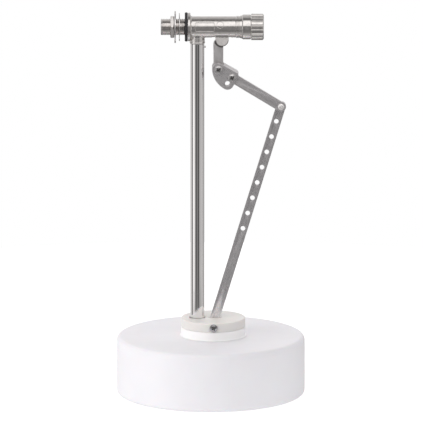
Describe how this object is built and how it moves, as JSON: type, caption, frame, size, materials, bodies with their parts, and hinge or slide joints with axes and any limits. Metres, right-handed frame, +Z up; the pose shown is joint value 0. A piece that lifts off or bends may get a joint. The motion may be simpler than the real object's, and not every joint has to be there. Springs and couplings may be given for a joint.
{
  "type": "float valve",
  "caption": "Vertical piston float valve: threaded inlet body with fluted end cap, straight outlet tube, crank linkage with a level-setting bar, and a puck-shaped float.",
  "frame": {"origin": "centre of the float's underside, on the plane that the float and the outlet tube stand on", "axes": "+Z up along the outlet tube, +X along the valve body towards its end cap, +Y away from the side with the screw heads"},
  "size_m": [0.2354, 0.2354, 0.4872],
  "materials": {
    "nickel": "nickel-plated brass, satin bright",
    "chrome": "mirror bright tube",
    "steel": "dull nickel-plated steel",
    "brass": "turned brass",
    "rubber": "matt black rubber",
    "nylon": "natural nylon",
    "white": "white blow-moulded polyethylene, soft sheen",
    "ivory": "ivory injection-moulded plastic, satin"
  },
  "bodies": {
    "valve": {"valve_body": "nickel", "inlet_seat": "nylon", "cylinder_collar": "nickel", "end_cap": "nickel", "cap_gasket": "rubber", "outlet_tube": "chrome", "tube_set_screw": "steel", "tube_o_ring": "rubber", "lever_pin": "steel", "rubber_gasket": "rubber"},
    "float": {"float_shell": "white", "float_base": "white", "float_sleeve": "white", "float_neck": "white", "float_cap": "ivory", "float_screw": "steel", "float_nut": "steel"},
    "crank": {"lever": "steel", "bracket": "steel", "arm": "steel", "upper_screw": "steel", "upper_nut": "steel", "upper_spacer": "steel", "lower_screw": "steel", "lower_nut": "steel", "lower_spacer": "steel", "arm_rivet": "steel", "rivet_washer": "steel"},
    "bar": {"level_bar": "steel"},
    "piston": {"piston": "brass", "piston_seal": "rubber", "piston_o_ring": "rubber"},
    "nut": {"lock_nut": "nickel", "nut_washer": "nickel"},
    "washer": {"thin_washer": "nickel"}
  },
  "joints": [
    {"name": "float_travel", "type": "slide", "parent": "valve", "child": "float", "axis": [0, 0, 1], "range_m": [0, 0.036]},
    {"name": "lever_turn", "type": "hinge", "parent": "valve", "child": "crank", "pos_m": [0.014, 0, 0.4524], "axis": [0, -1, 0], "range_deg": [0, 18.8]},
    {"name": "bar_turn", "type": "hinge", "parent": "crank", "child": "bar", "pos_m": [0.08775, 0, 0.367], "axis": [0, 1, 0], "range_deg": [0, 23.9]},
    {"name": "piston_travel", "type": "slide", "parent": "valve", "child": "piston", "axis": [-1, 0, 0], "range_m": [0, 0.0048]},
    {"name": "nut_travel", "type": "slide", "parent": "valve", "child": "nut", "axis": [1, 0, 0], "range_m": [-0.009, 0.0084]},
    {"name": "washer_travel", "type": "slide", "parent": "valve", "child": "washer", "axis": [1, 0, 0], "range_m": [-0.0055, 0.0051]}
  ],
  "couplings": [
    {"joint": "lever_turn", "follows": "float_travel", "rad_per_m": 9.064},
    {"joint": "bar_turn", "follows": "float_travel", "rad_per_m": 11.548},
    {"joint": "piston_travel", "follows": "float_travel", "ratio": 0.1318},
    {"joint": "washer_travel", "follows": "nut_travel", "ratio": 0.6}
  ]
}
